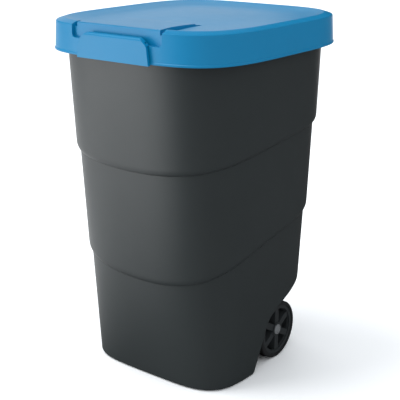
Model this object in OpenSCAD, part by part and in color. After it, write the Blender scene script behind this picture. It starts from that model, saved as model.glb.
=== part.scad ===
// Two-wheeled household bin: a tapered tub with two stepped tiers, a hinged lid with a latch lever,
// a rear grip bar that carries the lid hinge, and two spoked wheels on a steel axle.
// The front of the bin is -Y, +Z is up, and the origin is on the floor under the middle of the rim.

/* [Tub] */
// Width of the tub wall at the rim
rim_w = 440; // [360:1:520]
// Depth of the tub wall at the rim
rim_d = 488; // [410:1:590]
// Height of the rim above the floor
rim_h = 719; // [600:1:860]
// Width of the tub at the floor
base_w = 369; // [320:1:440]
// Depth of the tub at the floor
base_d = 354; // [300:1:420]
// Squareness of the plan at the floor, where 2 is an ellipse
base_square = 4.5; // [3:0.1:6]
// Squareness of the plan at the rim
rim_square = 3.4; // [3:0.1:6]
// Thickness of the tub wall
wall = 3.5; // [2.5:0.1:5]
// Thickness of the tub floor
floor_t = 4; // [3:0.5:6]
// Width of the flange round the rim
flange_w = 6; // [5:0.5:7]
// Thickness of the flange
flange_t = 7; // [4:0.5:10]
// Height of the foot ring under the floor
foot_h = 5; // [3:0.5:8]
// Width of the foot ring and of the rib down its middle
foot_w = 14; // [8:1:24]

/* [Tiers] */
// Height of the lower step at the front
step_low_z = 241; // [200:1:260]
// Rise of the lower step from front to back
step_low_rise = 112; // [60:1:130]
// Swell of the wall above the lower step
step_low_w = 5; // [2:0.5:8]
// Height of the upper step at the front
step_high_z = 481; // [450:1:500]
// Rise of the upper step from front to back
step_high_rise = 65; // [20:1:90]
// Swell of the wall above the upper step
step_high_w = 6; // [2:0.5:10]
// Height over which a step swells
step_h = 14; // [8:1:20]

/* [Lid] */
// Distance of the lid's skirt outside the tub wall
lid_overhang = 12.5; // [12:0.5:20]
// Height of the skirt's top edge above the rim
lid_above_rim = 33.5; // [30:0.5:40]
// Height of the skirt
skirt_h = 59; // [45:1:66]
// Outward flare of the skirt over its height
skirt_flare = 3; // [1:0.5:5]
// Thickness of the lid
lid_wall = 3; // [2:0.5:3.5]
// Squareness of the lid's plan
lid_square = 4.1; // [3:0.1:5]
// Width of the sloping border up to its ridge
ridge_inset = 18; // [12:1:24]
// Height of the ridge above the skirt's top edge
ridge_rise = 4.5; // [2:0.5:6]
// Distance of the panel's edge from the skirt
panel_inset = 50; // [40:1:60]
// Depth of the panel below the ridge
panel_drop = 9; // [5:0.5:10]
// Crown of the panel at its middle
panel_crown = 4; // [1:0.5:6]
// Outward bead at the skirt's lower edge
bead = 1.2; // [0.5:0.1:2]

/* [Latch] */
// Half width of the recess in the lid's front
recess_half_w = 113; // [104:1:120]
// Depth of the recess behind the skirt's face
recess_depth = 12; // [12:0.5:14]
// Height of the recess's ledge above the skirt's lower edge
ledge_h = 33; // [31:1:35]
// Half width of the lever at its lower edge
lever_half_w = 90; // [70:1:100]
// Half width of the lever's top ridge
lever_top_half_w = 66; // [52:1:76]
// Thickness of the lever's shell
lever_wall = 2.5; // [2:0.1:2.8]
// Radius of the lever's top ridge
lever_ridge_r = 7; // [5:0.5:8]
// Radius of the lever's pin
latch_pin_r = 2; // [1.5:0.1:2.4]
// Distance of the lever's pin in front of the recess's wall
latch_pin_out = 10; // [10:0.5:11]
// Height of the lever's pin above the ledge
latch_pin_up = 5.5; // [5.2:0.1:6]
// Lean of the lever's front face over its height
lever_lean = 1.5; // [0:0.5:2]
// Distance of the lever's face in front of the skirt
lever_reach = 7; // [6:0.5:8]
// Distance of the lever's lower edge below the skirt
lever_drop = 2; // [0:0.5:4]
// Height of the lever's top above the ledge
lever_rise = 14.5; // [14:0.5:16]
// Height of the lever's corners below its top
shoulder_drop = 16; // [14:0.5:20]
// Thickness of the ears that the lever's pin runs through
ear_t = 6; // [4:0.5:8]
// Wall round the pin in the ears
ear_wall = 2.4; // [2.2:0.1:2.4]
// Half width of the raised tongue at its waist
tongue_waist = 84; // [70:1:95]
// Length of the tongue from front to back
tongue_l = 135; // [100:5:160]
// Distance of the tongue's waist behind its front
waist_back = 95; // [80:5:110]
// Radius of the tongue's side curves
tongue_r = 230; // [200:5:500]
// Width of the relief groove beside the tongue
groove_w = 9; // [6:0.5:12]
// Depth of the relief groove below the panel's edge
groove_depth = 1; // [0.5:0.5:4]

/* [Rear grip and hinge] */
// Distance of the grip bar's axis behind the tub's rim
grip_reach = 45; // [42:1:60]
// Depth of the grip bar's axis below the rim
grip_drop = 67; // [62:1:72]
// Length of the grip bar between its arms
grip_l = 124; // [110:1:140]
// Radius of the grip bar
grip_r = 13; // [11:0.5:14]
// Thickness of each arm
arm_t = 12; // [8:1:16]
// Thickness of the grip's mounting plate
plate_t = 4; // [3:0.5:6]
// Height of the grip's mounting plate
plate_h = 70; // [60:1:76]
// Distance of the plate's middle below the grip bar's axis
plate_drop = 5; // [0:1:8]
// Distance of the flat pad's face behind the rim's wall
pad_out = 2; // [1:0.5:4]
// Distance of the screws from the plate's edges
screw_edge = 12; // [8:1:16]
// Radius of the hinge pins
hinge_pin_r = 4; // [3:0.1:5]
// Thickness of the lid's hinge lugs
lug_t = 11.5; // [8:0.5:15]
// Wall of the lugs round the hinge pins
lug_wall = 9; // [6:0.5:9]
// Depth of the hinge pins in the grip bar
pin_depth = 8; // [6:1:12]
// Radius of the screws' shanks
screw_r = 2.5; // [2:0.1:3]
// Length of the screws under the head
screw_l = 11; // [8:1:12]

/* [Wheels] */
// Outer radius of the tyres
wheel_r = 65; // [60:1:68]
// Width of the tyres
tyre_w = 36; // [30:1:40]
// Thickness of the tyre's tread
tread_t = 8; // [5:0.5:10]
// Depth of the rim behind the tread
rim_t = 8; // [5:0.5:10]
// Distance of the wheel's outer face inside the tub's side at the floor
wheel_inset = 8; // [6:1:20]
// Distance of the axle behind the tub's middle
axle_y = 66; // [58:1:72]
// Radius of the axle
axle_r = 7; // [6:0.5:8]
// Number of spokes
spokes = 6; // [5:1:8]
// Width of a spoke
spoke_w = 14; // [10:0.5:16]
// Outer radius of the hub
hub_r = 16; // [15:0.5:20]
// Depth of the hub's face and the spokes behind the tyre's side
face_back = 2; // [1:0.5:5]
// Depth of the cup in the hub
cup_depth = 9; // [8:0.5:10]
// Wall of the hub's cup
cup_wall = 4.5; // [3:0.5:5]
// Thickness of the retaining ring on the axle's end
retainer_t = 2; // [1.5:0.5:3]
// Wall of the plain bush in the hub
bush_wall = 3; // [2:0.5:3]
// Gap between the tyre and the wheel arch
arch_gap = 7; // [6:1:12]
// Lean of the arch's front edge
arch_lean = 23.5; // [15:0.5:30]
// Slope of the arch behind the wheel
arch_slope = 20; // [10:0.5:28]
// Distance of the wheel pocket's inner wall from the centre line
pocket_x = 118; // [110:1:122]
// Width of the axle channel in the underside
channel_w = 24; // [20:1:30]
// Length of each axle clip
clip_l = 25; // [15:1:40]
// Distance of each clip's middle from the centre line
clip_x = 85; // [60:1:100]
// Depth of each clip below the axle
clip_drop = 18; // [12:1:24]
// Radius of the ridges that hold a clip in the channel
barb_r = 1.5; // [1:0.1:2]
// Height of the ridges above the clip's foot
barb_up = 8; // [4:1:10]
// Thickness of the wheel's back web
web_t = 3; // [2:0.5:4]

/* [Clearances] */
// Radial clearance of pins and shafts that turn
run_gap = 0.05; // [0.02:0.01:0.09]
// Clearance between fixed pieces that sit in each other
fit_gap = 0.1; // [0.05:0.05:0.2]
// Clearance between pieces that slide past each other
side_gap = 0.4; // [0.3:0.1:0.6]

/* [Hidden] */

$fn = 64;
eps = 0.01;
outer_n = 144;
inner_n = 72;
dark = [0.17, 0.18, 0.19];
blue = [0.25, 0.53, 0.76];
black = [0.09, 0.09, 0.10];
steel = [0.62, 0.64, 0.66];

// Lid heights and half sizes
edge_z = rim_h + lid_above_rim;
skirt_z = edge_z - skirt_h;
ridge_z = edge_z + ridge_rise;
panel_z = ridge_z - panel_drop;
lid_hw = rim_w / 2 + lid_overhang;
lid_hd = rim_d / 2 + lid_overhang;
seat_inset = lid_overhang - flange_w / 2;
seat_t = 2.5;

// Latch
recess_y = -lid_hd + recess_depth;
waist_y = recess_y + waist_back;
ledge_z = skirt_z + ledge_h;
lever_front = -lid_hd - lever_reach;
lever_wing_y = -lid_hd - side_gap;
lever_bottom = skirt_z - lever_drop;
lever_top = ledge_z + lever_rise;
shoulder_z = lever_top - shoulder_drop;
latch_pin_y = recess_y - latch_pin_out;
latch_pin_z = ledge_z + latch_pin_up;
lever_back = latch_pin_y + latch_pin_r + 0.5;
lever_back_z = latch_pin_z - latch_pin_r - 1;
ear_r = latch_pin_r + ear_wall;
ear_x = lever_top_half_w / 2;

// Rear grip and hinge
hinge_y = rim_d / 2 + grip_reach;
hinge_z = rim_h - grip_drop;
pad_y = rim_d / 2 + pad_out;
plate_mid_z = hinge_z - plate_drop;
arm_x = grip_l / 2 + arm_t / 2;
lug_x = grip_l / 2 + arm_t + side_gap + lug_t / 2;
lug_r = hinge_pin_r + lug_wall;
pin_inner_x = grip_l / 2 - pin_depth;
pin_head_x = lug_x + lug_t / 2 + side_gap;
screw_x = grip_l / 2 - screw_edge;
screw_dz = plate_h / 2 - screw_edge;

// Wheels
wheel_out = base_w / 2 - wheel_inset;
wheel_in = wheel_out - tyre_w;
hub_out = wheel_out - face_back;
hub_in = wheel_in;
cup_r = hub_r - cup_wall;
rim_out_r = wheel_r - tread_t;
rim_in_r = rim_out_r - rim_t;
bush_r = axle_r + run_gap + bush_wall;
flange_bush_t = 1.5;
clip_bottom = wheel_r - axle_r - clip_drop;
barb_z = clip_bottom + barb_up;
arch_r = wheel_r + arch_gap;
cap_r = cup_r - fit_gap;

function signed_pow(v, e) = sign(v) * pow(abs(v), e);

// One point of a squared ellipse, from the angle, half width, front and back
function plan_point(a, hw, yf, yb, n) =
    [hw * signed_pow(cos(a), 2 / n), (yf + yb) / 2 + (yb - yf) / 2 * signed_pow(sin(a), 2 / n)];

// Sizes of the tub wall at a height, before the steps' swell is added
function tub_hw(z) = base_w / 2 + (rim_w / 2 - base_w / 2 - step_low_w - step_high_w) * z / rim_h;
function tub_hd(z) = base_d / 2 + (rim_d / 2 - base_d / 2 - step_low_w - step_high_w) * z / rim_h;
function tub_n(z) = base_square + (rim_square - base_square) * z / rim_h;

// One ring of the tub: front height, rise to the back and distance outside the unstepped wall
function tub_ring(z0, rise, off, count) = [
    for (i = [0:count - 1])
        let (
            a = 360 * i / count,
            n = tub_n(z0 + rise / 2),
            back = (1 + signed_pow(sin(a), 2 / n)) / 2,
            z = z0 + rise * sqrt(back),
            p = plan_point(a, tub_hw(z) + off, -tub_hd(z) - off, tub_hd(z) + off, n)
        )
        [p[0], p[1], z]
];

// One ring of the lid: height and distance inside the skirt's lower edge
function lid_ring(z, inset, count) = [
    for (i = [0:count - 1])
        let (p = plan_point(360 * i / count, lid_hw - inset, -lid_hd + inset, lid_hd - inset, lid_square))
        [p[0], p[1], z]
];

// Rings of a step: a crisp corner under a rounded lip
function step_rings(z0, rise, off, w, count) = [
    for (a = [0:22.5:90]) tub_ring(z0 - step_h * cos(a), rise, off + w * sin(a), count)
];

// Closed solid through a list of rings with the same number of points, bottom ring first
module loft(rings) {
    n = len(rings[0]);
    last = (len(rings) - 1) * n;
    points = [for (r = rings) for (p = r) p];
    sides = [
        for (k = [0:len(rings) - 2], i = [0:n - 1])
            let (j = (i + 1) % n, b = k * n, t = b + n)
            each [[b + i, t + i, b + j], [b + j, t + i, t + j]]
    ];
    caps = [[for (i = [0:n - 1]) i], [for (i = [n - 1:-1:0]) last + i]];
    polyhedron(points = points, faces = concat(sides, caps), convexity = 8);
}

// Mirrored copy for the left side, seen from the front
module on_side(side) {
    if (side < 0) mirror([1, 0, 0]) children();
    else children();
}

// Extrudes a YZ outline along X from x0 to x1
module along_x(x0, x1) {
    translate([x0, 0, 0]) rotate([90, 0, 90]) linear_extrude(x1 - x0) children();
}

// Extrudes an XZ outline along Y from y0 to y1
module along_y(y0, y1) {
    translate([0, y1, 0]) rotate([90, 0, 0]) linear_extrude(y1 - y0) children();
}

// Round bar or hole along X
module rod_x(x0, x1, y, z, r) {
    translate([x0, y, z]) rotate([0, 90, 0]) cylinder(h = x1 - x0, r = r);
}

// Side outline of the wheel housing, grown by a wall
module housing_outline(grow) {
    r = arch_r + grow;
    front = [axle_y - r * cos(arch_lean), wheel_r + r * sin(arch_lean)];
    rear = [axle_y - r * sin(arch_slope), wheel_r + r * cos(arch_slope)];
    foot_drop = front[1] + 2;
    run = rim_d;
    translate([axle_y, wheel_r]) circle(r = r);
    polygon([
        front,
        rear,
        rear + [run * cos(arch_slope), run * sin(arch_slope)],
        [rear[0] + run * cos(arch_slope), -2],
        [front[0] - foot_drop * tan(arch_lean), -2]
    ]);
}

module tub_outside() {
    low = step_low_w;
    both = step_low_w + step_high_w;
    loft(concat(
        [tub_ring(0, 0, -5, outer_n), tub_ring(2, 0, -1.5, outer_n), tub_ring(6, 0, 0, outer_n)],
        step_rings(step_low_z, step_low_rise, 0, low, outer_n),
        step_rings(step_high_z, step_high_rise, low, step_high_w, outer_n),
        [
            tub_ring(rim_h - flange_t - 6, 0, both, outer_n),
            tub_ring(rim_h - flange_t, 0, both + flange_w - 1.5, outer_n),
            tub_ring(rim_h - flange_t + 1.5, 0, both + flange_w, outer_n),
            tub_ring(rim_h - 2, 0, both + flange_w, outer_n),
            tub_ring(rim_h, 0, both + flange_w - 2, outer_n)
        ]
    ));
}

module tub_inside() {
    low = step_low_w;
    both = step_low_w + step_high_w;
    loft(concat(
        [tub_ring(foot_h + floor_t, 0, -wall - 3, inner_n), tub_ring(foot_h + floor_t + 4, 0, -wall, inner_n)],
        step_rings(step_low_z, step_low_rise, -wall, low, inner_n),
        step_rings(step_high_z, step_high_rise, low - wall, step_high_w, inner_n),
        [
            tub_ring(rim_h - 2, 0, both - wall, inner_n),
            tub_ring(rim_h + 1, 0, both - wall + 2, inner_n)
        ]
    ));
}

// Flat pad on the rear wall that the grip's plate is screwed to
module grip_pad() {
    translate([-grip_l / 2 - arm_t, rim_d / 2 - 40, plate_mid_z - plate_h / 2])
        cube([grip_l + 2 * arm_t, pad_y - rim_d / 2 + 40, plate_h]);
}

// Wheel pockets in both lower rear corners, grown by a wall
module pockets(grow) {
    for (side = [-1, 1]) on_side(side) along_x(pocket_x - grow, rim_w) housing_outline(grow);
}

// Downward-open channel across the underside that the axle lies in, grown by a wall
module axle_channel(grow) {
    r = channel_w / 2 + grow;
    along_x(-pocket_x - 1, pocket_x + 1) {
        translate([axle_y, wheel_r]) circle(r = r);
        translate([axle_y - r, -2]) square([2 * r, wheel_r + 2]);
    }
}

// Grooves in the channel's walls that the clips' ridges snap into
module barbs(r, extra) {
    for (y = [axle_y - channel_w / 2, axle_y + channel_w / 2])
        rod_x(clip_x - clip_l / 2 - extra, clip_x + clip_l / 2 + extra, y, barb_z, r);
}

module screw_places() {
    for (x = [-screw_x, screw_x], dz = [-screw_dz, screw_dz])
        translate([x, pad_y + plate_t, plate_mid_z + dz]) rotate([90, 0, 0]) children();
}

module tub() {
    color(dark)
    difference() {
        union() {
            tub_outside();
            grip_pad();
        }
        difference() {
            tub_inside();
            pockets(wall);
            axle_channel(wall);
        }
        pockets(0);
        axle_channel(0);
        difference() {
            loft([tub_ring(-1, 0, -foot_w, inner_n), tub_ring(foot_h, 0, -foot_w - 1, inner_n)]);
            pockets(foot_w);
            axle_channel(foot_w);
            translate([-foot_w / 2, -rim_d, -2]) cube([foot_w, 2 * rim_d, foot_h + 4]);
        }
        for (side = [-1, 1]) on_side(side) barbs(barb_r + fit_gap, fit_gap);
        screw_places() cylinder(h = screw_l + 1, r = screw_r + fit_gap);
    }
}

module lid_outside() {
    loft([
        lid_ring(skirt_z, -bead + 0.6, outer_n),
        lid_ring(skirt_z + 1, -bead, outer_n),
        lid_ring(skirt_z + 3.5, -bead, outer_n),
        lid_ring(skirt_z + 5, 0, outer_n),
        lid_ring(edge_z - 3, skirt_flare - 0.5, outer_n),
        lid_ring(edge_z - 1, skirt_flare + 0.4, outer_n),
        lid_ring(edge_z, skirt_flare + 2, outer_n),
        lid_ring(ridge_z - 0.4, ridge_inset - 1.5, outer_n),
        lid_ring(ridge_z - 0.4, ridge_inset + 1.5, outer_n),
        lid_ring(panel_z, panel_inset, outer_n),
        lid_ring(panel_z + panel_crown * 0.7, panel_inset + lid_hw * 0.35, outer_n),
        lid_ring(panel_z + panel_crown, lid_hw * 0.9, outer_n)
    ]);
}

module lid_inside() {
    t = lid_wall;
    loft([
        lid_ring(skirt_z - 1, t, inner_n),
        lid_ring(skirt_z + 5, t, inner_n),
        lid_ring(edge_z - t - 1, skirt_flare + t, inner_n),
        lid_ring(ridge_z - t - 0.4, ridge_inset, inner_n),
        lid_ring(panel_z - t, panel_inset + 1, inner_n),
        lid_ring(panel_z + panel_crown - t, lid_hw * 0.9, inner_n)
    ]);
}

// Stiffening ring under the roof that seats on the tub's rim
module lid_seat() {
    difference() {
        loft([lid_ring(rim_h + side_gap, seat_inset, inner_n), lid_ring(ridge_z, seat_inset, inner_n)]);
        loft([
            lid_ring(rim_h, seat_inset + seat_t, inner_n),
            lid_ring(ridge_z + 1, seat_inset + seat_t, inner_n)
        ]);
    }
}

// Recess in the skirt above the ledge, grown by a wall
module recess(grow) {
    corner = 8 + grow;
    half = recess_half_w + grow;
    low = ledge_z - grow;
    along_y(-lid_hd - 40, recess_y + grow) {
        translate([-half, low + corner]) square([2 * half, 60]);
        translate([-half + corner, low]) square([2 * (half - corner), corner + 1]);
        for (x = [-half + corner, half - corner]) translate([x, low + corner]) circle(r = corner);
    }
}

module tongue_outline(grow) {
    difference() {
        translate([-recess_half_w, recess_y - grow]) square([2 * recess_half_w, tongue_l + 2 * grow]);
        for (side = [-1, 1])
            translate([side * (tongue_waist + tongue_r), waist_y]) circle(r = tongue_r - grow, $fn = 360);
    }
}

// Side profile of the tongue: a near-level top with a rounded front edge and a ramp at the back
module tongue_profile(grow) {
    front = recess_y - grow;
    back = recess_y + tongue_l + grow;
    top = ridge_z - 0.6 + grow;
    r = 2.5;
    translate([front + r, top - r]) circle(r = r);
    polygon([
        [front, top - r], [front, panel_z - 12], [back + 6, panel_z - 12], [back + 6, panel_z - 3],
        [back - 10, top - 3], [front + r, top]
    ]);
}

// Raised tongue behind the recess, grown by a wall
module tongue(grow) {
    intersection() {
        along_x(-recess_half_w, recess_half_w) tongue_profile(grow);
        translate([0, 0, panel_z - 20]) linear_extrude(60) tongue_outline(grow);
    }
}

// Groove that frees the tongue's side from the border, grown by a wall
module groove(grow) {
    floor_z = panel_z - groove_depth - grow;
    intersection() {
        translate([tongue_waist + tongue_r, waist_y, floor_z]) difference() {
            cylinder(h = 60, r = tongue_r + grow, $fn = 360);
            translate([0, 0, -1]) cylinder(h = 62, r = tongue_r - groove_w - grow, $fn = 360);
        }
        translate([0, recess_y - 20, floor_z - 1]) cube([recess_half_w, tongue_l + 20 + grow, 80]);
    }
}

module latch_ear(x) {
    along_x(x - ear_t / 2, x + ear_t / 2) {
        translate([latch_pin_y, latch_pin_z]) circle(r = ear_r);
        translate([latch_pin_y, latch_pin_z - ear_r]) square([recess_y - latch_pin_y + 1, ear_r + 1.5]);
    }
}

module hinge_lug() {
    skirt_back = lid_hd - lid_wall / 2;
    along_x(lug_x - lug_t / 2, lug_x + lug_t / 2) {
        translate([hinge_y, hinge_z]) circle(r = lug_r);
        polygon([
            [skirt_back - 1, edge_z - 16],
            [skirt_back - 1, skirt_z + 2],
            [hinge_y - lug_r * cos(20), hinge_z - lug_r * sin(20)],
            [hinge_y + lug_r * cos(20), hinge_z + lug_r * sin(20)]
        ]);
    }
}

module lid() {
    color(blue)
    difference() {
        union() {
            difference() {
                union() {
                    lid_outside();
                    tongue(0);
                }
                difference() {
                    union() {
                        lid_inside();
                        tongue(-lid_wall);
                    }
                    lid_seat();
                    recess(lid_wall);
                    for (side = [-1, 1]) on_side(side) groove(lid_wall);
                }
                recess(0);
                for (side = [-1, 1]) on_side(side) groove(0);
            }
            for (side = [-1, 1]) on_side(side) {
                latch_ear(ear_x + ear_t + side_gap);
                hinge_lug();
            }
        }
        rod_x(-rim_w, rim_w, latch_pin_y, latch_pin_z, latch_pin_r + fit_gap);
        rod_x(-rim_w, rim_w, hinge_y, hinge_z, hinge_pin_r + run_gap);
    }
}

// Front outline of the latch lever, inset by a wall
module lever_outline(inset) {
    w = lever_half_w - inset;
    shoulder = lever_half_w - 5 - inset;
    ridge = lever_top_half_w - inset * 0.5;
    top = lever_top - inset;
    polygon([
        [-w, lever_bottom - eps], [w, lever_bottom - eps], [shoulder, shoulder_z], [shoulder - 3, shoulder_z + 4],
        [ridge + 4, top - 2], [ridge, top], [-ridge, top], [-ridge - 4, top - 2],
        [-shoulder + 3, shoulder_z + 4], [-shoulder, shoulder_z]
    ]);
}

// Side profile of the lever: a front face that rolls over into the top ridge
module lever_profile(inset) {
    r = lever_ridge_r - inset;
    mid_y = lever_front + lever_lean + lever_ridge_r;
    mid_z = lever_top - lever_ridge_r;
    low_z = lever_bottom - inset;
    translate([mid_y, mid_z]) circle(r = r);
    polygon([
        [lever_front + inset, low_z], [lever_wing_y + inset, low_z], [lever_wing_y + inset, mid_z], [mid_y - r, mid_z]
    ]);
    translate([mid_y - 0.5, lever_back_z - inset]) square([lever_back + inset - mid_y + 0.5, lever_top - lever_back_z]);
}

module lever_ear(x) {
    along_x(x - ear_t / 2, x + ear_t / 2) {
        translate([latch_pin_y, latch_pin_z]) circle(r = ear_r);
        translate([latch_pin_y - ear_r, latch_pin_z]) square([ear_r + 3, lever_top - latch_pin_z - 1]);
    }
}

module latch_lever() {
    half = lever_half_w + 1;
    color(blue)
    difference() {
        union() {
            difference() {
                intersection() {
                    along_x(-half, half) lever_profile(0);
                    along_y(lever_front - 1, lever_back + 1) lever_outline(0);
                }
                intersection() {
                    along_x(-half, half) lever_profile(lever_wall);
                    along_y(lever_front - 1, lever_back + 4) lever_outline(lever_wall);
                }
            }
            for (side = [-1, 1]) on_side(side) lever_ear(ear_x);
        }
        rod_x(-rim_w, rim_w, latch_pin_y, latch_pin_z, latch_pin_r + run_gap);
    }
}

module latch_pin() {
    reach = ear_x + 1.5 * ear_t + side_gap;
    color(steel) rod_x(-reach, reach, latch_pin_y, latch_pin_z, latch_pin_r);
}

module grip_arm() {
    along_x(arm_x - arm_t / 2, arm_x + arm_t / 2) {
        translate([hinge_y, hinge_z]) circle(r = grip_r);
        polygon([
            [pad_y + 1, plate_mid_z + plate_h / 2],
            [pad_y + 1, plate_mid_z - plate_h / 2],
            [hinge_y, hinge_z - grip_r],
            [hinge_y, hinge_z + grip_r]
        ]);
    }
}

module rear_grip() {
    color(dark)
    difference() {
        union() {
            translate([-grip_l / 2 - arm_t, pad_y, plate_mid_z - plate_h / 2])
                cube([grip_l + 2 * arm_t, plate_t, plate_h]);
            for (side = [-1, 1]) on_side(side) grip_arm();
            rod_x(-grip_l / 2 - 1, grip_l / 2 + 1, hinge_y, hinge_z, grip_r);
        }
        for (side = [-1, 1]) on_side(side)
            rod_x(pin_inner_x, arm_x + arm_t, hinge_y, hinge_z, hinge_pin_r + fit_gap);
        screw_places() translate([0, 0, -1]) cylinder(h = screw_l, r = screw_r + fit_gap);
    }
}

module grip_screws() {
    color(steel)
    screw_places() {
        cylinder(h = screw_l, r = screw_r);
        translate([0, 0, -2.2]) cylinder(h = 2.2, r = 2 * screw_r);
    }
}

module hinge_pin(side) {
    color(steel)
    on_side(side) {
        rod_x(pin_inner_x + fit_gap, pin_head_x + eps, hinge_y, hinge_z, hinge_pin_r);
        rod_x(pin_head_x, pin_head_x + 2.5, hinge_y, hinge_z, hinge_pin_r + 2.5);
    }
}

module axle() {
    reach = hub_out - 3;
    color(steel) rod_x(-reach, reach, axle_y, wheel_r, axle_r);
}

// Block pressed up into the channel from below, with the axle in its bore
module axle_clip(side) {
    r = channel_w / 2 - fit_gap;
    color(dark)
    on_side(side) difference() {
        union() {
            along_x(clip_x - clip_l / 2, clip_x + clip_l / 2) {
                translate([axle_y, wheel_r]) circle(r = r);
                translate([axle_y - r, clip_bottom]) square([2 * r, wheel_r - clip_bottom]);
            }
            barbs(barb_r, 0);
        }
        rod_x(0, pocket_x, axle_y, wheel_r, axle_r + fit_gap);
    }
}

// Spins a profile of [radius, distance out] about the axle, on one side of the bin
module turned(side) {
    on_side(side) translate([0, axle_y, wheel_r]) rotate([0, 90, 0]) rotate_extrude($fn = 128) children();
}

module wheel(side) {
    face = hub_out;
    back = wheel_in + 1;
    color(dark)
    difference() {
        union() {
            turned(side) translate([rim_in_r, back]) square([rim_t - fit_gap, face - back]);
            turned(side) translate([rim_in_r - 1.5, face - 8]) square([3, 4]);
            turned(side) translate([bush_r + fit_gap, hub_in]) square([hub_r - bush_r - fit_gap, hub_out - hub_in]);
            turned(side) translate([hub_r - 1, back + 3]) square([rim_in_r - hub_r + 2, web_t]);
            on_side(side) for (k = [0:spokes - 1])
                translate([back + 4, axle_y, wheel_r]) rotate([360 * k / spokes, 0, 0])
                    translate([0, -spoke_w / 2, hub_r - 2])
                        cube([face - back - 6, spoke_w, rim_in_r - hub_r + 3]);
        }
        on_side(side) rod_x(hub_out - cup_depth, wheel_out + 5, axle_y, wheel_r, cup_r);
    }
}

module tyre(side) {
    lip = 2.5;
    color(black)
    turned(side) translate([rim_out_r, wheel_in])
        polygon([
            [0, 0], [tread_t - lip, 0], [tread_t, lip], [tread_t, tyre_w - lip], [tread_t - lip, tyre_w],
            [0, tyre_w]
        ]);
}

module wheel_bush(side) {
    color(black)
    turned(side) {
        translate([axle_r + run_gap, hub_in]) square([bush_wall, hub_out - cup_depth - hub_in]);
        translate([axle_r + run_gap, hub_in - flange_bush_t]) square([bush_wall + 3, flange_bush_t]);
    }
}

module axle_spacer(side) {
    inner = pocket_x;
    outer = hub_in - flange_bush_t - side_gap;
    color(black)
    turned(side) translate([axle_r + fit_gap, inner + fit_gap]) square([4, outer - inner - fit_gap]);
}

module retainer(side) {
    color(steel)
    turned(side) translate([axle_r + fit_gap, hub_out - cup_depth + side_gap])
        square([cup_r - axle_r - fit_gap - 1, retainer_t]);
}

// Dished cap that closes the hub's cup over the axle's end
module hub_cap(side) {
    seat = hub_out - 2.2;
    color("silver")
    turned(side) translate([0, seat])
        polygon([
            [0, 0], [cap_r, 0], [cap_r, 2.6], [cap_r - 0.8, 3.6], [cap_r - 2.4, 3.6], [cap_r - 3.2, 2.4],
            [cap_r - 5, 3], [0, 3.6]
        ]);
}

tub();
lid();
latch_lever();
latch_pin();
rear_grip();
grip_screws();
hinge_pin(-1);  // hinge_pin_left
hinge_pin(1);  // hinge_pin_right
axle();
axle_clip(-1);  // axle_clip_left
axle_clip(1);  // axle_clip_right
wheel(-1);  // wheel_left
wheel(1);  // wheel_right
tyre(-1);  // tyre_left
tyre(1);  // tyre_right
wheel_bush(-1);  // wheel_bush_left
wheel_bush(1);  // wheel_bush_right
axle_spacer(-1);  // axle_spacer_left
axle_spacer(1);  // axle_spacer_right
retainer(-1);  // retainer_left
retainer(1);  // retainer_right
hub_cap(-1);  // hub_cap_left
hub_cap(1);  // hub_cap_right
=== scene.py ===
"""Household wheelie bin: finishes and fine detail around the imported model, in metres."""

from __future__ import annotations

import logging
import math
from dataclasses import dataclass, field
from enum import Enum

import bmesh
import bpy
from mathutils import Matrix, Vector

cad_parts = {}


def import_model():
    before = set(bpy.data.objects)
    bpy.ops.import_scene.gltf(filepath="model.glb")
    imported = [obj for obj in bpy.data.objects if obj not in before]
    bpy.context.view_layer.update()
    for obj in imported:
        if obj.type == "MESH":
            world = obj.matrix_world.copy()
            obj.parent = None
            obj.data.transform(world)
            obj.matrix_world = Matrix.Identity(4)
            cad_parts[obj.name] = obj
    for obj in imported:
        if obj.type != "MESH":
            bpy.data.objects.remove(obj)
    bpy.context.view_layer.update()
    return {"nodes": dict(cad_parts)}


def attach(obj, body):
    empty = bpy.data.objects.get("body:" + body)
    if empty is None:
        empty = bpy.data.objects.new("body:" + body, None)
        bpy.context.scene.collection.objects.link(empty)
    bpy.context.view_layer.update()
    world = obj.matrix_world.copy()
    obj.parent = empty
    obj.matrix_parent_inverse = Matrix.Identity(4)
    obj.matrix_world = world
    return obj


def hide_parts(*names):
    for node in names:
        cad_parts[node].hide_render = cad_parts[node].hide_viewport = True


log = logging.getLogger("wheelie_bin")

Triple = tuple[float, float, float]
Nodes = dict[str, bpy.types.Object]
MM = 0.001
# Corners closer than this are welded into one
WELD = 0.002 * MM
# Corners this close to a plane lie in it
IN_PLANE = 0.01 * MM
# How strongly large faces pull the shading, and the bevel profile of a plain round
FACE_WEIGHT = 80
ROUND_PROFILE = 0.5


class Side(Enum):
    """The two sides of the bin, by the sign of X."""

    LEFT = -1
    RIGHT = 1

    @property
    def word(self) -> str:
        """The side's name as the nodes spell it."""
        return self.name.lower()


# ---------------------------------------------------------------- finishes


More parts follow.
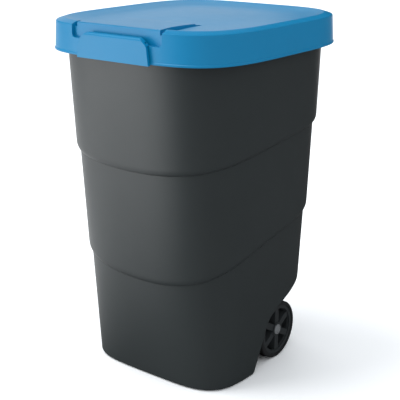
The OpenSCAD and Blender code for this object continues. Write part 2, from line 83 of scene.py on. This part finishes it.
class NodeTree:
    """Adds and links shader nodes in one tree."""

    def __init__(self, tree: bpy.types.NodeTree) -> None:
        """Keeps the tree that nodes are added to."""
        self.tree = tree

    def add(self, kind: str, **settings: object) -> bpy.types.Node:
        """Adds a node.

        Args:
            kind: The node's Blender type name.
            settings: Attributes to set on it.

        Returns:
            The new node.
        """
        node = self.tree.nodes.new(kind)
        for name, value in settings.items():
            setattr(node, name, value)
        return node

    def feed(
        self, into: bpy.types.NodeSocket, value: bpy.types.NodeSocket | float | tuple[float, ...]
    ) -> None:
        """Links another node's output into a socket, or sets the socket to a constant.

        Args:
            into: The socket to feed.
            value: The output to link, or the constant.
        """
        if isinstance(value, bpy.types.NodeSocket):
            self.tree.links.new(value, into)
        else:
            into.default_value = value

    def compute(self, operation: str, *values: bpy.types.NodeSocket | float) -> bpy.types.NodeSocket:
        """Adds a math node.

        Args:
            operation: The node's operation.
            values: Its inputs in order, each an output or a constant.

        Returns:
            The result's socket.
        """
        node = self.add("ShaderNodeMath", operation=operation)
        for into, value in zip(node.inputs, values):
            self.feed(into, value)
        return node.outputs[0]

    def place(self) -> bpy.types.NodeSocket:
        """Returns the piece's own coordinates."""
        return self.add("ShaderNodeTexCoord").outputs["Object"]

    def mapping(
        self, vector: bpy.types.NodeSocket, scale: Triple, turn: Triple = (0.0, 0.0, 0.0)
    ) -> bpy.types.NodeSocket:
        """Stretches and turns a vector.

        Args:
            vector: The vector.
            scale: Factor along each axis.
            turn: Turn about each axis, in radians.

        Returns:
            The mapped vector's socket.
        """
        node = self.add("ShaderNodeMapping")
        self.feed(node.inputs["Vector"], vector)
        self.feed(node.inputs["Scale"], scale)
        self.feed(node.inputs["Rotation"], turn)
        return node.outputs["Vector"]

    def noise(
        self, vector: bpy.types.NodeSocket, scale: bpy.types.NodeSocket | float, detail: float
    ) -> bpy.types.NodeSocket:
        """Adds a noise texture.

        Args:
            vector: Where the texture is read.
            scale: Grains per unit of the vector.
            detail: Octaves of finer noise.

        Returns:
            The noise value's socket.
        """
        node = self.add("ShaderNodeTexNoise")
        self.feed(node.inputs["Vector"], vector)
        self.feed(node.inputs["Scale"], scale)
        self.feed(node.inputs["Detail"], detail)
        return node.outputs["Fac"]

    def remap(
        self, value: bpy.types.NodeSocket, old: tuple[float, float], new: tuple[float, float]
    ) -> bpy.types.NodeSocket:
        """Maps a value's range onto another, clamped.

        Args:
            value: The value to map.
            old: Start and end of its range.
            new: What the start and the end become.

        Returns:
            The mapped value's socket.
        """
        node = self.add("ShaderNodeMapRange")
        for name, number in zip(("From Min", "From Max", "To Min", "To Max"), old + new):
            self.feed(node.inputs[name], number)
        self.feed(node.inputs["Value"], value)
        return node.outputs["Result"]

    def mix(
        self,
        factor: bpy.types.NodeSocket,
        first: bpy.types.NodeSocket | tuple[float, ...],
        second: bpy.types.NodeSocket | tuple[float, ...],
        blend: str = "MIX",
    ) -> bpy.types.NodeSocket:
        """Mixes two colours.

        Args:
            factor: Share of the second colour.
            first: The first colour.
            second: The second colour.
            blend: How the second is laid over the first.

        Returns:
            The mixed colour's socket.
        """
        node = self.add("ShaderNodeMix", data_type="RGBA", blend_type=blend)
        for name, value in (("Factor", factor), ("A", first), ("B", second)):
            self.feed(node.inputs[name], value)
        return node.outputs["Result"]


def opaque(colour: Triple) -> tuple[float, float, float, float]:
    """Returns a colour with full alpha."""
    return (*colour, 1.0)


def new_material(name: str, colour: Triple) -> tuple[bpy.types.Material, NodeTree, bpy.types.Node]:
    """Makes a node material.

    Args:
        name: Its name.
        colour: Its plain viewport colour.

    Returns:
        The material, its node tree and its surface shader.
    """
    made = bpy.data.materials.new(name)
    made.use_nodes = True
    made.diffuse_color = opaque(colour)
    return made, NodeTree(made.node_tree), made.node_tree.nodes["Principled BSDF"]


class MouldedSkin:
    """Shader group for moulded plastic: spark-eroded grain, flow shading and fine handling marks."""

    NAME = "moulded_skin"
    INPUTS = (
        ("Base Colour", "NodeSocketColor", (0.1, 0.1, 0.1, 1.0)),
        ("Mottle", "NodeSocketFloat", 0.03),
        ("Roughness", "NodeSocketFloat", 0.45),
        ("Roughness Spread", "NodeSocketFloat", 0.012),
        ("Grain Scale", "NodeSocketFloat", 1500.0),
        ("Grain Depth", "NodeSocketFloat", 0.05),
        ("Scuffs", "NodeSocketFloat", 0.3),
        ("Edge Radius", "NodeSocketFloat", 0.0006),
    )
    OUTPUTS = (
        ("Colour", "NodeSocketColor"),
        ("Roughness", "NodeSocketFloat"),
        ("Normal", "NodeSocketVector"),
    )
    # The middle of a noise texture's values, where most of them lie
    NOISE_SPAN = (0.3, 0.7)
    SWING = (-1.0, 1.0)
    MASK = (0.0, 1.0)
    DRIFT_SCALE = 7.0
    SHEEN_SCALE = 40.0
    SCUFF_STRETCH = (60.0, 60.0, 420.0)
    SCUFF_TURN = (0.5, 0.3, 0.2)
    SCUFF_SPAN = (0.67, 0.78)
    PATCH_SCALE = 9.0
    PATCH_SPAN = (0.5, 0.75)
    SCUFF_TINT = (0.03, 0.03, 0.03)
    SCUFF_ROUGHNESS = 0.15
    GRAIN_HEIGHT = 0.4 * MM
    BEVEL_SAMPLES = 6

    def __init__(self) -> None:
        """Starts without a group; it is built on first use."""
        self.group: bpy.types.NodeTree | None = None

    def tree(self) -> bpy.types.NodeTree:
        """Returns the group, built once."""
        if self.group is None:
            self.group = self._build()
        return self.group

    def _build(self) -> bpy.types.NodeTree:
        """Builds the group.

        Returns:
            The node group with named inputs and outputs.
        """
        group = bpy.data.node_groups.new(self.NAME, "ShaderNodeTree")
        for name, kind, value in self.INPUTS:
            group.interface.new_socket(name=name, in_out="INPUT", socket_type=kind).default_value = value
        for name, kind in self.OUTPUTS:
            group.interface.new_socket(name=name, in_out="OUTPUT", socket_type=kind)
        nt = NodeTree(group)
        given = nt.add("NodeGroupInput").outputs
        out = nt.add("NodeGroupOutput").inputs
        place = nt.place()

        # Slow colour drift from the melt's flow
        drift = nt.remap(nt.noise(place, self.DRIFT_SCALE, detail=3.0), self.NOISE_SPAN, self.SWING)
        tint = nt.add("ShaderNodeVectorMath", operation="SCALE")
        nt.feed(tint.inputs[0], given["Base Colour"])
        nt.feed(tint.inputs["Scale"], nt.compute("MULTIPLY_ADD", drift, given["Mottle"], 1.0))

        # Fine scuffs: thin stretched noise in patches, a little paler and rougher
        stretched = nt.mapping(place, self.SCUFF_STRETCH, self.SCUFF_TURN)
        streak = nt.remap(nt.noise(stretched, scale=1.0, detail=2.0), self.SCUFF_SPAN, self.MASK)
        patch = nt.remap(nt.noise(place, self.PATCH_SCALE, detail=2.0), self.PATCH_SPAN, self.MASK)
        worn = nt.compute("MULTIPLY", nt.compute("MULTIPLY", streak, patch), given["Scuffs"])
        nt.feed(out["Colour"], nt.mix(worn, tint.outputs[0], opaque(self.SCUFF_TINT), "ADD"))

        # Roughness wanders over the surface and rises in the scuffs
        sheen = nt.remap(nt.noise(place, self.SHEEN_SCALE, detail=4.0), self.NOISE_SPAN, self.SWING)
        wander = nt.compute("MULTIPLY_ADD", sheen, given["Roughness Spread"], given["Roughness"])
        nt.feed(out["Roughness"], nt.compute("MULTIPLY_ADD", worn, self.SCUFF_ROUGHNESS, wander))

        # Spark-eroded grain over softly rounded edges
        rounded = nt.add("ShaderNodeBevel", samples=self.BEVEL_SAMPLES)
        nt.feed(rounded.inputs["Radius"], given["Edge Radius"])
        bump = nt.add("ShaderNodeBump")
        nt.feed(bump.inputs["Distance"], self.GRAIN_HEIGHT)
        nt.feed(bump.inputs["Strength"], given["Grain Depth"])
        nt.feed(bump.inputs["Height"], nt.noise(place, given["Grain Scale"], detail=2.0))
        nt.feed(bump.inputs["Normal"], rounded.outputs["Normal"])
        nt.feed(out["Normal"], bump.outputs["Normal"])
        return group


@dataclass(frozen=True)
class PlasticFinish:
    """One moulded plastic.

    Attributes:
        name: The material's name.
        colour: Linear base colour.
        roughness: Middle roughness.
        grain: Depth of the moulded grain.
        scuffs: How much the surface is handled.
        edge: Radius that sharp edges are softened to.
        specular: Strength of its reflections.
    """

    name: str
    colour: Triple
    roughness: float
    grain: float
    scuffs: float
    edge: float = 0.7 * MM
    specular: float = 0.5

    def material(self, skin: MouldedSkin) -> bpy.types.Material:
        """Makes the material.

        Args:
            skin: The shared shader group.

        Returns:
            The material.
        """
        made, nt, shader = new_material(self.name, self.colour)
        group = nt.add("ShaderNodeGroup", node_tree=skin.tree())
        for name, value in (
            ("Base Colour", opaque(self.colour)),
            ("Roughness", self.roughness),
            ("Grain Depth", self.grain),
            ("Scuffs", self.scuffs),
            ("Edge Radius", self.edge),
        ):
            nt.feed(group.inputs[name], value)
        nt.feed(shader.inputs["Specular IOR Level"], self.specular)
        for name, into in (("Colour", "Base Color"), ("Roughness", "Roughness"), ("Normal", "Normal")):
            nt.feed(shader.inputs[into], group.outputs[name])
        return made


@dataclass(frozen=True)
class PlatedSteel:
    """Zinc-plated steel with a drawn grain along X.

    Attributes:
        name: The material's name.
        colour: Linear base colour.
        roughness: Lowest and highest roughness.
        stretch: How fine the drawn grain is along each axis.
        cloud_scale: Patches of the plating's tint per metre.
        cloud: The tint's darkest and palest factor.
        grain: Strength of the drawn grain.
        grain_height: Height of the drawn grain.
    """

    name: str = "zinc_plated_steel"
    colour: Triple = (0.55, 0.56, 0.58)
    roughness: tuple[float, float] = (0.24, 0.44)
    stretch: Triple = (20.0, 900.0, 900.0)
    cloud_scale: float = 120.0
    cloud: tuple[float, float] = (0.85, 1.12)
    grain: float = 0.08
    grain_height: float = 0.2 * MM

    def material(self) -> bpy.types.Material:
        """Returns the material."""
        made, nt, shader = new_material(self.name, self.colour)
        place = nt.place()
        lines = nt.noise(nt.mapping(place, self.stretch), scale=1.0, detail=3.0)
        nt.feed(shader.inputs["Roughness"], nt.remap(lines, MouldedSkin.NOISE_SPAN, self.roughness))
        dark, pale = (opaque(tuple(min(1.0, c * share) for c in self.colour)) for share in self.cloud)
        clouds = nt.noise(place, self.cloud_scale, detail=3.0)
        nt.feed(shader.inputs["Base Color"], nt.mix(clouds, dark, pale))
        nt.feed(shader.inputs["Metallic"], 1.0)
        bump = nt.add("ShaderNodeBump")
        nt.feed(bump.inputs["Strength"], self.grain)
        nt.feed(bump.inputs["Distance"], self.grain_height)
        nt.feed(bump.inputs["Height"], lines)
        nt.feed(shader.inputs["Normal"], bump.outputs["Normal"])
        return made


class Palette:
    """Every finish on the bin, each made once."""

    def __init__(self) -> None:
        """Makes the finishes."""
        skin = MouldedSkin()
        self.tub, self.lid, self.wheel, self.tyre, self.cap = (
            plastic.material(skin)
            for plastic in (
                PlasticFinish("anthracite_tub", (0.033, 0.041, 0.043), 0.42, 0.16, 0.3, specular=0.6),
                PlasticFinish("blue_lid", (0.0, 0.240, 0.50), 0.38, 0.12, 0.1, specular=0.4),
                PlasticFinish("black_wheel", (0.034, 0.039, 0.042), 0.42, 0.15, 0.3),
                PlasticFinish("black_tyre", (0.024, 0.026, 0.028), 0.52, 0.3, 0.5),
                PlasticFinish("grey_cap", (0.21, 0.22, 0.23), 0.36, 0.1, 0.2),
            )
        )
        self.steel = PlatedSteel().material()


# ---------------------------------------------------------------- shared mesh work


def dress(piece: bpy.types.Object, finish: bpy.types.Material) -> None:
    """Gives a piece one finish all over."""
    piece.data.materials.clear()
    piece.data.materials.append(finish)


def shade(piece: bpy.types.Object, crease: float) -> None:
    """Shades a piece smooth, with sharp edges over an angle and face-weighted normals.

    Args:
        piece: The piece.
        crease: The angle in degrees above which an edge stays sharp.
    """
    piece.data.shade_smooth()
    piece.data.set_sharp_from_angle(angle=math.radians(crease))
    weighted = piece.modifiers.new("weighted_normals", "WEIGHTED_NORMAL")
    weighted.keep_sharp = True
    weighted.weight = FACE_WEIGHT


def linked(shape: bmesh.types.BMesh, name: str) -> bpy.types.Object:
    """Turns a shape into an object in the scene and frees the shape.

    Args:
        shape: The shape.
        name: The object's name.

    Returns:
        The object.
    """
    mesh = bpy.data.meshes.new(name)
    shape.to_mesh(mesh)
    shape.free()
    made = bpy.data.objects.new(name, mesh)
    bpy.context.scene.collection.objects.link(made)
    return made


def round_off(
    shape: bmesh.types.BMesh,
    geom: list[bmesh.types.BMVert | bmesh.types.BMEdge],
    affect: str,
    radius: float,
    facets: int,
) -> None:
    """Rounds some edges or corners of a shape.

    Args:
        shape: The shape.
        geom: The edges or corners.
        affect: EDGES or VERTICES.
        radius: The rounding's size.
        facets: Facets across it.
    """
    bmesh.ops.bevel(
        shape,
        geom=geom,
        offset=radius,
        offset_type="OFFSET",
        affect=affect,
        segments=facets,
        profile=ROUND_PROFILE,
        material=-1,
    )


def cylinder(
    shape: bmesh.types.BMesh, radius: float, length: float, facets: int
) -> list[bmesh.types.BMVert]:
    """Adds an upright capped cylinder about the origin.

    Args:
        shape: The shape it is added to.
        radius: Its radius.
        length: Its length.
        facets: Facets round it.

    Returns:
        Its corners.
    """
    made = bmesh.ops.create_cone(
        shape, cap_ends=True, segments=facets, radius1=radius, radius2=radius, depth=length
    )
    return made["verts"]


def extent(points: list[Vector]) -> tuple[Vector, Vector]:
    """Returns the lowest and highest corner round some points."""
    low = Vector([min(p[axis] for p in points) for axis in range(3)])
    high = Vector([max(p[axis] for p in points) for axis in range(3)])
    return low, high


def corners(node: bpy.types.Object) -> list[Vector]:
    """Returns the places of a node's corners."""
    return [v.co.copy() for v in node.data.vertices]


# ---------------------------------------------------------------- the bin's sub-assemblies


@dataclass
class Shells:
    """The tub, lid, lever and grip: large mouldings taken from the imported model, welded and shaded.

    Attributes:
        palette: The finishes.
        nodes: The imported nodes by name.
        crease: Angle in degrees above which an edge stays sharp.
        sliver: Length below which an edge is dissolved.
    """

    palette: Palette
    nodes: Nodes
    crease: float = 32.0
    sliver: float = 0.001 * MM

    def welded(self, node: str) -> bpy.types.Object:
        """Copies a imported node's surface and welds its loose triangles.

        Args:
            node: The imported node's name.

        Returns:
            The copy.
        """
        shell = bmesh.new()
        shell.from_mesh(self.nodes[node].data)
        bmesh.ops.remove_doubles(shell, verts=shell.verts, dist=WELD)
        bmesh.ops.dissolve_degenerate(shell, dist=self.sliver, edges=shell.edges)
        piece = linked(shell, f"{node}_moulding")
        stale = piece.data.attributes.get("custom_normal")
        if stale is not None:
            piece.data.attributes.remove(stale)
        return piece

    def build(self) -> list[bpy.types.Object]:
        """Builds each moulding, puts it on its body and hides the node it stands for.

        Returns:
            The pieces.
        """
        made = []
        for node, body, slot, finish in (
            ("tub", "bin", "tub_plastic", self.palette.tub),
            ("lid", "lid", "lid_plastic", self.palette.lid),
            ("latch_lever", "latch", "lid_plastic", self.palette.lid),
            ("rear_grip", "bin", "tub_plastic", self.palette.tub),
        ):
            piece = self.welded(node)
            dress(piece, finish)
            shade(piece, self.crease)
            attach(piece, body)
            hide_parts(node)
            made.append(piece)
        return made


@dataclass
class Tyres:
    """The moulded tyres: rounded shoulders and a flat tread with two shallow grooves.

    Attributes:
        palette: The finishes.
        nodes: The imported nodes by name.
        shoulder: Rounding of the tread's shoulders.
        shoulder_facets: Facets across each shoulder.
        groove: Depth of the tread's grooves.
        tread_cuts: Cuts across the tread, which set the grooves' width.
        sunk: The cuts, counted from the left edge, that are sunk into grooves.
        steps: Facets round the tyre.
        crease: Angle in degrees above which an edge stays sharp.
    """

    palette: Palette
    nodes: Nodes
    shoulder: float = 4.0 * MM
    shoulder_facets: int = 5
    groove: float = 0.8 * MM
    tread_cuts: int = 10
    sunk: tuple[int, int] = (4, 7)
    steps: int = 128
    crease: float = 40.0

    def tyre(self, side: Side) -> bpy.types.Object:
        """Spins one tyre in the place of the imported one.

        Args:
            side: The side it is on.

        Returns:
            The tyre.
        """
        packed = corners(self.nodes[f"tyre_{side.word}"])
        low, high = extent(packed)
        middle = (low + high) / 2.0
        outer = (high.z - low.z) / 2.0
        inner = min(math.hypot(c.y - middle.y, c.z - middle.z) for c in packed)

        # The section stands on the axle's rear side, with its tread outward along Y
        ring = bmesh.new()
        bmesh.ops.create_grid(ring, x_segments=1, y_segments=1, size=0.5)
        bmesh.ops.scale(ring, vec=(high.x - low.x, outer - inner, 1.0), verts=ring.verts)
        section = (middle.x, middle.y + (inner + outer) / 2.0, middle.z)
        bmesh.ops.translate(ring, vec=section, verts=ring.verts)
        tread_y = middle.y + outer - MM
        tread = [e for e in ring.edges if all(v.co.y > tread_y for v in e.verts)]
        bmesh.ops.subdivide_edges(ring, edges=tread, cuts=self.tread_cuts)
        crest = sorted((v for v in ring.verts if v.co.y > tread_y), key=lambda v: v.co.x)
        bmesh.ops.translate(ring, vec=(0.0, -self.groove, 0.0), verts=[crest[i] for i in self.sunk])
        round_off(ring, [crest[0], crest[-1]], "VERTICES", self.shoulder, self.shoulder_facets)
        bmesh.ops.delete(ring, geom=list(ring.faces), context="FACES_ONLY")
        bmesh.ops.spin(
            ring,
            geom=list(ring.verts) + list(ring.edges),
            cent=middle,
            axis=(1.0, 0.0, 0.0),
            angle=math.tau,
            steps=self.steps,
            use_merge=True,
        )
        bmesh.ops.remove_doubles(ring, verts=ring.verts, dist=WELD)
        bmesh.ops.recalc_face_normals(ring, faces=ring.faces)
        return linked(ring, f"tyre_{side.word}_moulding")

    def build(self) -> list[bpy.types.Object]:
        """Builds both tyres on their wheels' bodies.

        Returns:
            The tyres.
        """
        made = []
        for side in Side:
            piece = self.tyre(side)
            dress(piece, self.palette.tyre)
            shade(piece, self.crease)
            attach(piece, f"wheel_{side.word}")
            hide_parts(f"tyre_{side.word}")
            made.append(piece)
        return made


@dataclass(frozen=True)
class ScrewSizes:
    """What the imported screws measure.

    Attributes:
        middles: The middle of each head's face.
        head_r: The heads' radius.
        head_h: The heads' height.
        shank_r: The shanks' radius.
        shank_l: The shanks' length under the head.
    """

    # Corners between these shares of the shank's and the head's radius are on the head's rim
    PAST_SHANK = 1.5
    WITHIN_HEAD = 1.1

    middles: list[Vector]
    head_r: float
    head_h: float
    shank_r: float
    shank_l: float

    @classmethod
    def measured(cls, node: bpy.types.Object) -> ScrewSizes:
        """Measures four screws that point along Y, one in each corner of a plate.

        Args:
            node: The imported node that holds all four.

        Returns:
            The sizes.
        """
        points = corners(node)
        face_y = max(c.y for c in points)
        end_y = min(c.y for c in points)
        face = [c for c in points if c.y > face_y - IN_PLANE]
        mid_x = sum(c.x for c in face) / len(face)
        mid_z = sum(c.z for c in face) / len(face)
        rims: dict[tuple[bool, bool], list[Vector]] = {}
        for c in face:
            rims.setdefault((c.x > mid_x, c.z > mid_z), []).append(c)
        spans = [extent(rim) for rim in rims.values()]
        middles = [(low + high) / 2.0 for low, high in spans]
        head_low, head_high = spans[0]
        head_r = (head_high.x - head_low.x) / 2.0
        tip = [c for c in points if c.y < end_y + IN_PLANE and c.x > mid_x and c.z > mid_z]
        tip_low, tip_high = extent(tip)
        shank_r = (tip_high.x - tip_low.x) / 2.0
        first = middles[0]
        near, far = shank_r * cls.PAST_SHANK, head_r * cls.WITHIN_HEAD
        under_y = min(c.y for c in points if near < math.hypot(c.x - first.x, c.z - first.z) < far)
        return cls(middles, head_r, face_y - under_y, shank_r, under_y - end_y)


@dataclass
class Screws:
    """The four screws of the grip's plate: rounded pan heads with a round socket.

    Attributes:
        palette: The finishes.
        nodes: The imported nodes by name.
        socket: The socket's radius is halfway between this and the head's.
        depth: Depth of the socket.
        rounding: Rounding of the head, as a share of its height.
        rounding_facets: Facets across the rounding.
        head_facets: Facets round a head.
        shank_facets: Facets round a shank.
        crease: Angle in degrees above which an edge stays sharp.
    """

    palette: Palette
    nodes: Nodes
    socket: float = 1.7 * MM
    depth: float = 1.4 * MM
    rounding: float = 0.45
    rounding_facets: int = 4
    head_facets: int = 48
    shank_facets: int = 32
    crease: float = 35.0

    def screw(self, sizes: ScrewSizes, middle: Vector) -> bpy.types.Mesh:
        """Models one screw.

        Args:
            sizes: What the screws measure.
            middle: The middle of its head's face.

        Returns:
            Its mesh.
        """

        def top_face() -> bmesh.types.BMFace:
            """Returns the highest face that still has the head's own outline."""
            flat = (f for f in body.faces if len(f.verts) == self.head_facets)
            return max(flat, key=lambda f: f.calc_center_median().z)

        # The screw stands upright with its face at height 0, and is turned to face along Y at the end
        body = bmesh.new()
        cylinder(body, sizes.head_r, sizes.head_h, self.head_facets)
        rounding = sizes.head_h * self.rounding
        round_off(body, list(top_face().edges), "EDGES", rounding, self.rounding_facets)
        bmesh.ops.translate(body, vec=(0.0, 0.0, -sizes.head_h / 2.0), verts=body.verts)
        wall = (sizes.head_r - self.socket) / 2.0
        bmesh.ops.inset_individual(body, faces=[top_face()], thickness=wall)
        rim = top_face()
        socket = bmesh.ops.extrude_face_region(body, geom=[rim])
        floor = [part for part in socket["geom"] if isinstance(part, bmesh.types.BMVert)]
        bmesh.ops.translate(body, vec=(0.0, 0.0, -self.depth), verts=floor)
        bmesh.ops.delete(body, geom=[rim], context="FACES_ONLY")
        shank = cylinder(body, sizes.shank_r, sizes.shank_l, self.shank_facets)
        bmesh.ops.translate(body, vec=(0.0, 0.0, -sizes.head_h - sizes.shank_l / 2.0), verts=shank)
        turn = Matrix.Translation(middle) @ Matrix.Rotation(math.radians(-90.0), 4, "X")
        bmesh.ops.transform(body, matrix=turn, verts=body.verts)
        mesh = bpy.data.meshes.new("screw")
        body.to_mesh(mesh)
        body.free()
        return mesh

    def build(self) -> list[bpy.types.Object]:
        """Builds the four screws as one piece.

        Returns:
            The piece, in a list.
        """
        sizes = ScrewSizes.measured(self.nodes["grip_screws"])
        screws = bmesh.new()
        for middle in sizes.middles:
            one = self.screw(sizes, middle)
            screws.from_mesh(one)
            bpy.data.meshes.remove(one)
        piece = linked(screws, "grip_screws_turned")
        dress(piece, self.palette.steel)
        shade(piece, self.crease)
        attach(piece, "bin")
        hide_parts("grip_screws")
        return [piece]


@dataclass
class Carried:
    """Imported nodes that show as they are, each with its finish.

    Attributes:
        palette: The finishes.
        nodes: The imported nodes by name.
    """

    palette: Palette
    nodes: Nodes

    def finish_of(self, name: str) -> bpy.types.Material:
        """Returns the finish for a node by its name."""
        for starts, finish in (
            (("latch_pin", "hinge_pin", "retainer"), self.palette.steel),
            (("hub_cap",), self.palette.cap),
            (("axle_clip",), self.palette.tub),
        ):
            if name.startswith(starts):
                return finish
        return self.palette.steel if name == "axle" else self.palette.wheel

    def dress_all(self, replaced: set[str]) -> int:
        """Dresses every node that no piece replaces.

        Args:
            replaced: The nodes that pieces stand for.

        Returns:
            How many nodes were dressed.
        """
        shown = [name for name in self.nodes if name not in replaced]
        for name in shown:
            dress(self.nodes[name], self.finish_of(name))
        return len(shown)


# ---------------------------------------------------------------- studio


def hang(data: bpy.types.Light, along: Vector) -> bpy.types.Object:
    """Adds a light to the scene, turned to shine one way.

    Args:
        data: The light.
        along: The way it shines.

    Returns:
        The light's object.
    """
    lamp = bpy.data.objects.new(data.name, data)
    lamp.rotation_euler = along.to_track_quat("-Z", "Y").to_euler()
    bpy.context.scene.collection.objects.link(lamp)
    return lamp


@dataclass(frozen=True)
class SoftBox:
    """One large soft light.

    Attributes:
        name: The light's name.
        place: Where it hangs.
        aim: The point it faces.
        size: Its width and height.
        power: Its output in watts.
    """

    name: str
    place: Triple
    aim: Triple
    size: tuple[float, float]
    power: float

    def light(self) -> None:
        """Puts the light in the scene."""
        data = bpy.data.lights.new(self.name, "AREA")
        data.shape = "RECTANGLE"
        data.size, data.size_y = self.size
        data.energy = self.power
        lamp = hang(data, Vector(self.aim) - Vector(self.place))
        lamp.visible_camera = False
        lamp.location = self.place


@dataclass(frozen=True)
class Overhead:
    """The broad light from above that throws the soft shadow to the right.

    Attributes:
        toward: Direction from the bin to the light.
        strength: Its strength.
        spread: How wide it looks, in degrees.
    """

    toward: Triple = (-0.5, -0.32, 1.0)
    strength: float = 1.1
    spread: float = 36.0

    def light(self) -> None:
        """Puts the light in the scene."""
        data = bpy.data.lights.new("broad", "SUN")
        data.energy = self.strength
        data.angle = math.radians(self.spread)
        hang(data, -Vector(self.toward))


@dataclass(frozen=True)
class Floor:
    """A pale floor that looks bright, lights the bin softly and, in glossy surfaces, shows a painted
    reflection that fades out toward +X.

    Attributes:
        half: Half its width.
        sink: How far it lies below the wheels.
        seen: Its colour in the picture, bright enough to burn out where it is unshaded.
        lighting: Its colour as it lights the bin.
        mirror_x: Where, across the bin, the painted reflection starts and ends to fade.
        mirror_shade: The painted reflection's brightness there, bright toward -X and dark toward +X.
        roughness: Its roughness.
        specular: Strength of its own reflections.
    """

    half: float = 30.0
    sink: float = 0.5 * MM
    seen: Triple = (1.18, 1.20, 1.22)
    lighting: Triple = (0.5, 0.5, 0.5)
    mirror_x: tuple[float, float] = (-0.6, -0.1)
    mirror_shade: tuple[float, float] = (1.0, 0.08)
    roughness: float = 0.9
    specular: float = 0.1

    def material(self) -> bpy.types.Material:
        """Returns the floor's material."""
        paper, nt, shader = new_material("pale_paper", (0.8, 0.8, 0.8))
        ray = nt.add("ShaderNodeLightPath").outputs
        across = nt.add("ShaderNodeSeparateXYZ")
        nt.feed(across.inputs["Vector"], nt.place())
        plain = nt.mix(ray["Is Camera Ray"], opaque(self.lighting), opaque(self.seen))
        # Glossy rays see a painted reflection, bright toward -X and dark toward +X, which lays a painted
        # sheen on the tub's front and keeps its corner dark
        painted_reflection = nt.remap(across.outputs["X"], self.mirror_x, self.mirror_shade)
        nt.feed(shader.inputs["Base Color"], nt.mix(ray["Is Glossy Ray"], plain, painted_reflection))
        nt.feed(shader.inputs["Roughness"], self.roughness)
        nt.feed(shader.inputs["Specular IOR Level"], self.specular)
        return paper

    def lay(self) -> None:
        """Lays the floor."""
        sheet = bmesh.new()
        bmesh.ops.create_grid(sheet, x_segments=1, y_segments=1, size=self.half)
        floor = linked(sheet, "floor")
        floor.location.z = -self.sink
        dress(floor, self.material())


@dataclass
class Studio:
    """Floor, lights and camera.

    Attributes:
        eye: The camera's place.
        turn: Degrees the camera is turned about Z.
        tilt: Degrees it looks down.
        lens: Focal length in millimetres.
        sensor: Width of the sensor in millimetres.
        surround: Colour of the surround.
        surround_strength: Its strength.
        boxes: The soft lights.
    """

    eye: Triple = (1.19517, -1.54574, 0.98436)
    turn: float = 37.55
    tilt: float = 17.95
    lens: float = 84.09
    sensor: float = 36.0
    surround: Triple = (0.96, 0.98, 1.0)
    surround_strength: float = 0.9
    boxes: list[SoftBox] = field(
        default_factory=lambda: [
            SoftBox("front_key", (-1.45, -1.75, 0.7), (0.0, -0.2, 0.45), (1.1, 1.5), 14.0),
            SoftBox("rear_sheet", (-2.1, 1.6, 1.5), (0.0, 0.0, 0.75), (2.4, 1.6), 11.0),
        ]
    )

    def world(self) -> None:
        """Sets the white surround, which lights but doesn't show in glossy surfaces, and the plain view."""
        world = bpy.data.worlds.new("white_surround")
        world.use_nodes = True
        background = world.node_tree.nodes["Background"]
        background.inputs["Color"].default_value = opaque(self.surround)
        background.inputs["Strength"].default_value = self.surround_strength
        bpy.context.scene.world = world
        world.cycles_visibility.glossy = False
        bpy.context.scene.view_settings.view_transform = "Standard"

    def camera(self) -> None:
        """Places the camera and makes it the scene's."""
        data = bpy.data.cameras.new("camera")
        data.lens = self.lens
        data.sensor_width = self.sensor
        data.dof.use_dof = False
        camera = bpy.data.objects.new("camera", data)
        camera.location = self.eye
        camera.rotation_euler = (math.radians(90.0 - self.tilt), 0.0, math.radians(self.turn))
        bpy.context.scene.collection.objects.link(camera)
        bpy.context.scene.camera = camera

    def build(self) -> None:
        """Sets up the whole studio."""
        Floor().lay()
        self.world()
        self.camera()
        Overhead().light()
        for box in self.boxes:
            box.light()


def main() -> None:
    """Builds the bin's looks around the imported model."""
    logging.basicConfig(level=logging.INFO, format="%(name)s: %(message)s")
    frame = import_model()
    palette = Palette()
    nodes: Nodes = frame["nodes"]
    pieces = Shells(palette, nodes).build() + Tyres(palette, nodes).build() + Screws(palette, nodes).build()
    for piece in pieces:
        log.info("%s: %d faces", piece.name, len(piece.data.polygons))
    replaced = {"tub", "lid", "latch_lever", "rear_grip", "tyre_left", "tyre_right", "grip_screws"}
    log.info("dressed %d packed nodes", Carried(palette, nodes).dress_all(replaced))
    Studio().build()


if __name__ == "__main__":
    main()
